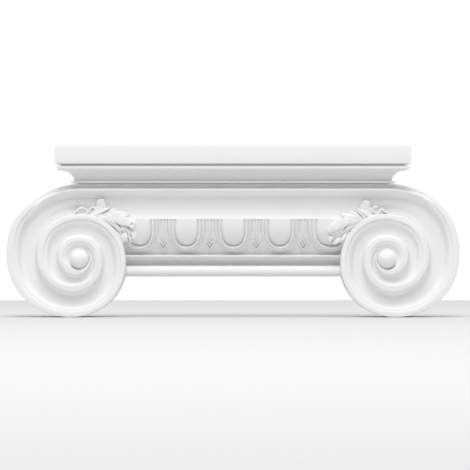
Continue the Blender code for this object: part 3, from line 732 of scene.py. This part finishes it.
# Acanthus leaves: a half leaf laid over the inner shoulder of each volute, cast in one with
# it. Curled lobes rise on the channel, a broad veined blade runs down beside the rim, on the
# left to a small scroll, and short lobes hang under its tip.

# Every lobe from root to tip, in millimetres: towards the middle from the eye, above the
# eye, forward of the back, half width. Then its crown and its number of veins.
LEFT_LOBES = (
    (((-3.4, 43.4, 43.0, 3.6), (1.2, 46.6, 43.2, 3.6), (4.8, 47.8, 43.0, 2.2)), 0.6, 0),
    (((-7.8, 44.4, 44.8, 0.8), (-3.4, 47.8, 45.6, 1.0), (0.8, 51.2, 46.0, 1.0), (3.2, 51.6, 45.6, 0.8)),
     1.3, 0),
    (((3.0, 51.4, 45.6, 0.8), (5.6, 50.0, 45.2, 0.8), (8.0, 48.2, 44.8, 0.7)), 1.1, 0),
    (((7.6, 44.6, 44.2, 3.0), (11.6, 48.2, 44.4, 3.0), (13.4, 49.8, 44.4, 2.4)), 0.8, 0),
    (((4.4, 45.0, 45.4, 0.8), (8.4, 47.6, 46.0, 0.9), (11.0, 50.6, 46.6, 0.9), (13.0, 52.0, 46.4, 0.9),
      (15.4, 50.9, 46.0, 0.9), (15.6, 48.8, 45.6, 0.7)), 1.3, 0),
    (((16.6, 44.4, 45.8, 3.6), (19.8, 49.6, 45.8, 4.2), (22.0, 53.6, 46.0, 4.4), (21.4, 56.6, 47.2, 3.4)),
     0.9, 4),
    (((17.8, 52.6, 45.6, 0.8), (18.0, 56.6, 46.8, 0.9), (19.4, 58.8, 47.6, 0.8), (23.4, 58.9, 47.4, 0.8)),
     0.9, 0),
    (((12.4, 44.2, 47.6, 1.2), (18.6, 46.0, 49.0, 1.5), (23.8, 48.6, 50.4, 1.6), (28.0, 50.6, 50.4, 1.0)),
     1.5, 0),
    (((16.0, 43.6, 48.4, 1.1), (23.0, 44.2, 49.4, 1.5), (28.0, 45.6, 50.8, 1.8), (34.6, 49.0, 50.8, 1.3)),
     1.4, 1),
    (((20.0, 42.2, 49.0, 1.0), (27.0, 42.6, 50.4, 1.5), (31.4, 44.2, 51.4, 1.6), (36.4, 47.2, 51.2, 1.2)),
     1.3, 0),
    (((20.6, 41.4, 49.4, 1.2), (29.0, 41.6, 51.2, 2.6), (38.0, 45.0, 52.4, 2.8), (48.2, 44.2, 51.4, 1.1)),
     1.4, 2),
    (((22.6, 40.2, 49.8, 1.2), (31.0, 40.0, 51.8, 3.2), (41.6, 39.4, 53.0, 5.2), (50.4, 37.0, 53.4, 4.4),
      (53.2, 35.2, 53.0, 3.4)), 1.2, 4),
    (((24.0, 39.2, 49.2, 1.0), (30.4, 35.4, 49.4, 2.0), (36.4, 30.0, 49.4, 2.6), (41.0, 24.4, 49.2, 2.8),
      (43.2, 19.0, 48.6, 2.4)), 0.3, 0),
    (((24.0, 39.6, 49.8, 0.7), (30.0, 36.8, 50.6, 1.1), (35.6, 33.2, 50.8, 1.3), (40.8, 28.4, 50.4, 1.2)),
     1.1, 0),
    (((27.6, 39.2, 50.4, 0.8), (33.0, 36.6, 51.0, 1.4), (37.6, 33.6, 51.2, 1.7), (41.6, 30.2, 50.6, 1.3)),
     1.0, 1),
    (((40.0, 33.0, 50.4, 1.4), (45.6, 29.6, 51.2, 2.4), (50.4, 26.0, 50.6, 1.8)), 1.0, 2),
    (((51.8, 28.8, 50.6, 1.6), (54.2, 26.0, 51.8, 2.6), (54.6, 21.8, 52.0, 2.1)), 1.5, 0),
    (((44.4, 27.4, 50.0, 1.4), (46.0, 23.2, 51.4, 2.2), (47.2, 19.8, 50.8, 1.4)), 1.3, 1),
    (((41.4, 25.4, 49.6, 1.0), (43.4, 21.8, 50.6, 1.5), (44.8, 18.6, 50.2, 1.1)), 1.1, 0),
    (((48.4, 25.4, 49.6, 1.0), (50.6, 21.6, 50.4, 1.4), (51.4, 18.4, 50.0, 1.1)), 1.1, 0),
)
RIGHT_LOBES = (
    (((-2.4, 43.4, 43.0, 3.4), (2.4, 45.6, 43.2, 3.2), (5.6, 47.4, 43.0, 1.8)), 0.6, 0),
    (((-5.0, 44.2, 44.8, 0.8), (0.7, 47.0, 45.8, 1.0), (4.6, 49.6, 46.2, 1.0), (6.8, 49.0, 45.8, 0.8)),
     1.3, 0),
    (((6.8, 48.6, 45.8, 0.9), (5.4, 46.4, 45.4, 0.9), (3.4, 44.0, 44.8, 0.8)), 1.2, 0),
    (((8.4, 44.0, 44.0, 2.6), (10.4, 47.8, 44.4, 2.8), (11.2, 50.4, 45.0, 2.2)), 0.8, 0),
    (((9.4, 52.2, 45.8, 0.8), (11.6, 52.4, 46.2, 1.0), (13.2, 51.2, 45.8, 0.8)), 1.1, 0),
    (((11.4, 46.2, 45.8, 0.9), (13.8, 48.6, 46.8, 1.1), (16.4, 50.8, 46.8, 1.0)), 1.2, 0),
    (((17.0, 44.4, 45.8, 3.8), (20.2, 49.4, 45.8, 4.8), (21.6, 52.6, 46.2, 4.6), (20.8, 54.8, 47.2, 3.4)),
     0.9, 3),
    (((17.6, 51.0, 45.8, 0.8), (17.4, 55.2, 47.0, 0.9), (18.6, 57.6, 47.6, 0.8), (22.4, 57.4, 47.4, 0.8)),
     0.9, 0),
    (((16.8, 41.8, 48.2, 1.2), (20.4, 44.4, 49.6, 1.5), (23.8, 46.9, 50.6, 1.6), (28.0, 49.1, 50.6, 1.1)),
     1.5, 0),
    (((20.0, 40.4, 49.0, 0.9), (23.6, 43.2, 50.0, 1.2), (27.8, 47.0, 50.4, 1.0)), 1.1, 0),
    (((22.4, 38.9, 49.6, 1.3), (28.6, 42.2, 51.6, 2.6), (34.4, 45.9, 51.8, 1.6)), 1.4, 1),
    (((24.6, 38.6, 50.0, 1.3), (34.0, 41.2, 52.2, 3.6), (43.8, 43.8, 51.8, 1.6)), 1.4, 2),
    (((22.6, 38.2, 49.8, 1.2), (33.0, 38.4, 52.0, 3.4), (44.0, 37.0, 53.2, 5.2), (52.8, 32.0, 53.4, 4.2),
      (56.6, 29.0, 52.6, 2.8)), 1.2, 4),
    (((24.0, 38.6, 49.2, 1.0), (30.6, 34.8, 49.4, 2.0), (36.6, 29.6, 49.4, 2.6), (41.2, 24.0, 49.2, 2.8),
      (43.4, 18.6, 48.6, 2.4)), 0.3, 0),
    (((24.4, 38.4, 49.6, 0.8), (30.4, 35.4, 50.6, 1.2), (36.0, 32.0, 50.8, 1.4), (40.2, 28.0, 50.2, 1.1)),
     1.1, 0),
    (((28.0, 37.6, 50.4, 0.8), (34.0, 34.4, 51.0, 1.6), (39.6, 31.0, 51.2, 2.0), (44.6, 27.4, 50.6, 1.4)),
     1.0, 2),
    (((42.0, 33.0, 50.6, 1.4), (47.6, 29.6, 51.4, 2.4), (52.4, 26.4, 50.6, 1.6)), 1.0, 2),
    (((53.8, 25.0, 50.4, 1.8), (55.8, 21.8, 51.8, 2.6), (56.6, 19.6, 51.4, 2.1)), 1.5, 0),
    (((46.2, 22.6, 49.8, 1.4), (49.6, 18.2, 51.2, 2.0), (52.2, 16.8, 50.6, 1.4)), 1.3, 0),
    (((41.2, 25.0, 49.8, 1.2), (43.8, 20.8, 51.2, 1.8), (45.6, 18.6, 50.6, 1.3)), 1.2, 0),
)

# Carved lines, in millimetres: the points they run through, their depth and half width
LEFT_CUTS = (
    (((36.2, 36.8), (38.8, 34.8), (42.0, 31.6)), 3.2, 0.8),
    (((46.0, 42.4), (48.8, 42.5)), 2.0, 0.6),
    (((24.0, 38.3), (29.6, 34.8), (35.6, 30.4), (40.0, 26.0)), 2.0, 0.5),
    (((41.2, 23.4), (43.2, 26.6), (45.8, 28.6)), 1.8, 0.5),
    (((50.4, 28.8), (53.0, 28.4), (55.4, 29.4)), 3.6, 1.0),
    (((22.8, 45.6), (26.6, 47.0), (28.2, 48.2)), 0.8, 0.7),
    (((0.4, 47.0), (3.4, 48.6), (5.2, 47.6)), 1.0, 0.7),
    (((44.6, 30.6), (47.8, 27.0), (49.4, 22.6)), 1.6, 0.5),
)
RIGHT_CUTS = (
    (((42.4, 41.5), (47.6, 41.7)), 2.2, 0.6),
    (((19.6, 38.6), (23.0, 40.4), (28.4, 46.0)), 2.0, 0.6),
    (((24.0, 37.0), (30.0, 33.4), (36.6, 28.6), (40.2, 25.0)), 2.0, 0.5),
    (((53.4, 23.4), (56.0, 23.6), (58.8, 23.6)), 3.6, 1.0),
    (((36.4, 36.0), (41.0, 31.8), (44.0, 27.2)), 1.8, 0.6),
    (((-2.3, 43.4), (0.6, 45.6), (3.0, 47.2)), 1.2, 0.7),
    (((34.0, 46.0), (34.2, 44.6)), 1.2, 0.5),
)

# Drilled eyes: towards the middle, above the eye, radius, depth
LEFT_DRILLED = (
    (12.8, 50.1, 1.0, 2.4), (52.6, 35.0, 0.9, 1.6), (36.6, 30.4, 0.7, 1.2), (17.3, 58.2, 0.7, 1.6),
)
RIGHT_DRILLED = (
    (10.6, 49.4, 0.9, 1.8), (45.8, 22.2, 1.2, 3.0), (43.6, 34.0, 0.7, 1.0), (15.8, 54.6, 0.8, 1.8),
)

# Small scrolls: towards the middle, above the eye, radius
LEFT_SCROLLS = ((52.6, 35.0, 2.6),)
RIGHT_SCROLLS = ()
SCROLL_FORWARD = 53.8
SCROLL_HEIGHT = 1.5
SCROLL_HALF = 1.1
VEIN_DEPTH = 0.34
MIDRIB_DEPTH = 0.25
MIDRIB_HALF = 0.35
LOBE_SIDE_FALL = 7.0
SCROLL_SIDE_FALL = 6

# The leaf's grid, in millimetres, and how far forward of the back it may start and is rooted
LEAF_CELL = 0.36
LEAF_ACROSS = (-9, 62)
LEAF_UP = (12, 63)
LEAF_DROP = 0.8
LEAF_SHOWN_FROM = 36.0
LEAF_LOWEST = 35.0
LEAF_REAR = 34.0
BARE = 20.0
MILLIMETRE = 0.001


def nearest(u, v, points, count=140):
    """Distance to a curve through points, the side of it, and the place along it."""
    knots = np.linspace(0, 1, len(points))
    t = np.linspace(0, 1, count)
    cu = along(list(zip(knots, [p[0] for p in points])), t)
    cv = along(list(zip(knots, [p[1] for p in points])), t)
    gap = (u[..., None] - cu) ** 2 + (v[..., None] - cv) ** 2
    spot = gap.argmin(axis=-1)
    du, dv = np.gradient(cu), np.gradient(cv)
    length = np.hypot(du, dv)
    side = (du[spot] * (v - cv[spot]) - dv[spot] * (u - cu[spot])) / length[spot]
    return np.sqrt(gap.min(axis=-1)), side, t[spot]


def leaf_relief(u, v, lobes, cuts, drilled, scrolls):
    """Forward place of the leaf, in millimetres, at places around the eye."""
    relief = np.full(u.shape, BARE)
    for stations, crown, veins in lobes:
        distance, side, t = nearest(u, v, stations)
        knots = np.linspace(0, 1, len(stations))
        level = along(list(zip(knots, [p[2] for p in stations])), t)
        half = along(list(zip(knots, [p[3] for p in stations])), t)
        inside = np.clip(1 - (distance / half) ** 2, 0, None)
        shape = crown * np.sqrt(inside)
        if veins:
            furrow = (0.5 + 0.5 * np.cos(pi * veins * side / half)) ** 3
            shape = shape - VEIN_DEPTH * furrow * np.sqrt(inside)
        else:
            shape = shape - MIDRIB_DEPTH * np.exp(-(side / MIDRIB_HALF) ** 2)
        shape = level - crown * 0.5 + shape - LOBE_SIDE_FALL * np.clip(distance - half, 0, None)
        relief = np.maximum(relief, shape)
    for cu, cv, radius in scrolls:
        r = np.hypot(u - cu, v - cv)
        shape = SCROLL_FORWARD + SCROLL_HEIGHT * bump(r - radius, SCROLL_HALF)
        shape = shape - SCROLL_SIDE_FALL * np.clip(r - radius - SCROLL_HALF, 0, None)
        relief = np.maximum(relief, shape)
    for points, depth, half in cuts:
        distance, side, t = nearest(u, v, points, 60)
        relief -= depth * bump(distance, half) * np.sqrt(np.clip(1 - (2 * t - 1) ** 4, 0.15, 1))
    for cu, cv, radius, depth in drilled:
        relief -= depth * bump(np.hypot(u - cu, v - cv), radius)
    return relief


for side, label, lobes, cuts, drilled, scrolls in (
        (-1, "left", LEFT_LOBES, LEFT_CUTS, LEFT_DRILLED, LEFT_SCROLLS),
        (1, "right", RIGHT_LOBES, RIGHT_CUTS, RIGHT_DRILLED, RIGHT_SCROLLS)):
    u, v = np.meshgrid(np.arange(*LEAF_ACROSS, LEAF_CELL), np.arange(*LEAF_UP, LEAF_CELL), indexing="ij")
    level = leaf_relief(u, v, lobes, cuts, drilled, scrolls)
    columns, rows = u.shape
    x = side * (EYE_X - MILLIMETRE * u)
    z = EYE_Z + MILLIMETRE * (v - LEAF_DROP)
    front = place(x, MILLIMETRE * np.maximum(level, LEAF_LOWEST), z)
    leaf_points = np.concatenate([front, place(x, MILLIMETRE * np.full(u.shape, LEAF_REAR), z)])
    cells = np.array(grid_faces(columns, rows))
    cells = cells[(level.ravel()[cells] > LEAF_SHOWN_FROM).any(axis=1)]
    size = columns * rows
    edges = np.concatenate([cells[:, [k, (k + 1) % 4]] for k in range(4)])
    twins = set(map(tuple, edges[:, ::-1].tolist()))
    border = [edge for edge in edges.tolist() if tuple(edge) not in twins]
    leaf_faces = cells.tolist() + (cells[:, ::-1] + size).tolist()
    leaf_faces += [[b, a, a + size, b + size] for a, b in border]
    used = np.unique(np.concatenate([np.ravel(face) for face in leaf_faces]))
    renumber = np.zeros(len(leaf_points), int)
    renumber[used] = np.arange(len(used))
    leaf_faces = [[int(renumber[i]) for i in face] for face in leaf_faces]
    leaf = finish_piece(f"{label}_leaf", leaf_points[used], leaf_faces, 70)
    leaf.data.materials.append(primer.material)
    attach(leaf, "root")
    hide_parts("ionic_capital")


# Studio: a pale matt floor under the volutes, a plain pale surround, and two broad soft
# lights, one above and in front and one nearly overhead.

FLOOR_HALF = 6
FLOOR_BEHIND = 1
floor_mesh = bpy.data.meshes.new("floor")
floor_mesh.from_pydata([
    (-FLOOR_HALF, -FLOOR_HALF, 0), (FLOOR_HALF, -FLOOR_HALF, 0), (FLOOR_HALF, FLOOR_BEHIND, 0),
    (-FLOOR_HALF, FLOOR_BEHIND, 0)], [], [(0, 1, 2, 3)])
floor = bpy.data.objects.new("floor", floor_mesh)
bpy.context.scene.collection.objects.link(floor)
paper = Shader("pale_floor")
paper.surface.inputs["Base Color"].default_value = (0.62, 0.62, 0.62, 1)
paper.surface.inputs["Roughness"].default_value = 0.9
floor_mesh.materials.append(paper.material)

# The surround is white behind the capital and overhead, and dimmer low down in front
BEHIND_STRENGTH = 1.0
OVERHEAD_STRENGTH = 0.95
FRONT_STRENGTH = 0.26
surround = bpy.data.worlds.new("surround")
surround.use_nodes = True
sky = surround.node_tree
facing = sky.nodes.new("ShaderNodeTexCoord")
parted = sky.nodes.new("ShaderNodeSeparateXYZ")
rising = sky.nodes.new("ShaderNodeMapRange")
backing = sky.nodes.new("ShaderNodeMapRange")
sky.links.new(facing.outputs["Generated"], parted.inputs[0])
for ramp, axis, low, high in ((rising, "Z", 0.05, 0.85), (backing, "Y", 0.2, 0.95)):
    sky.links.new(parted.outputs[axis], ramp.inputs["Value"])
    ramp.interpolation_type = "SMOOTHSTEP"
    ramp.inputs["From Min"].default_value = low
    ramp.inputs["From Max"].default_value = high
rising.inputs["To Min"].default_value = FRONT_STRENGTH
rising.inputs["To Max"].default_value = OVERHEAD_STRENGTH
sky.links.new(rising.outputs["Result"], backing.inputs["To Min"])
backing.inputs["To Max"].default_value = BEHIND_STRENGTH
sky.links.new(backing.outputs["Result"], sky.nodes["Background"].inputs["Strength"])
sky.nodes["Background"].inputs["Color"].default_value = (1, 1, 1, 1)
bpy.context.scene.world = surround

LAMP_AZIMUTH = -3
LAMP_DISTANCE = 3.2
LAMP_SIZE = 1.3
AIM_HEIGHT = 0.09
for label, elevation, watts in (("key", 46, 31), ("top", 74, 33)):
    lamp_data = bpy.data.lights.new(label, "AREA")
    lamp_data.size = LAMP_SIZE
    lamp_data.energy = watts
    lamp = bpy.data.objects.new(label, lamp_data)
    bpy.context.scene.collection.objects.link(lamp)
    rise, turn = radians(elevation), radians(LAMP_AZIMUTH)
    lamp.location = (LAMP_DISTANCE * cos(rise) * sin(turn), -LAMP_DISTANCE * cos(rise) * cos(turn),
                     AIM_HEIGHT + LAMP_DISTANCE * sin(rise))
    lamp.rotation_euler = (radians(90) - rise, 0, turn)

# Camera straight in front, far off with a long lens, framed as in the photograph
FRAME_WIDTH = 0.470
FRAME_CENTRE = (0.00195, 0.0823)
AIM_FORWARD = 0.050
camera_data = bpy.data.cameras.new("camera")
camera_data.lens = 300
camera_data.sensor_width = 36
distance = FRAME_WIDTH * camera_data.lens / camera_data.sensor_width
camera = bpy.data.objects.new("camera", camera_data)
bpy.context.scene.collection.objects.link(camera)
camera.location = (FRAME_CENTRE[0], BACK - AIM_FORWARD - distance, FRAME_CENTRE[1])
camera.rotation_euler = (radians(90), 0, 0)
camera_data.clip_start = 0.1
camera_data.clip_end = 50
bpy.context.scene.camera = camera
bpy.context.scene.view_settings.view_transform = "Standard"
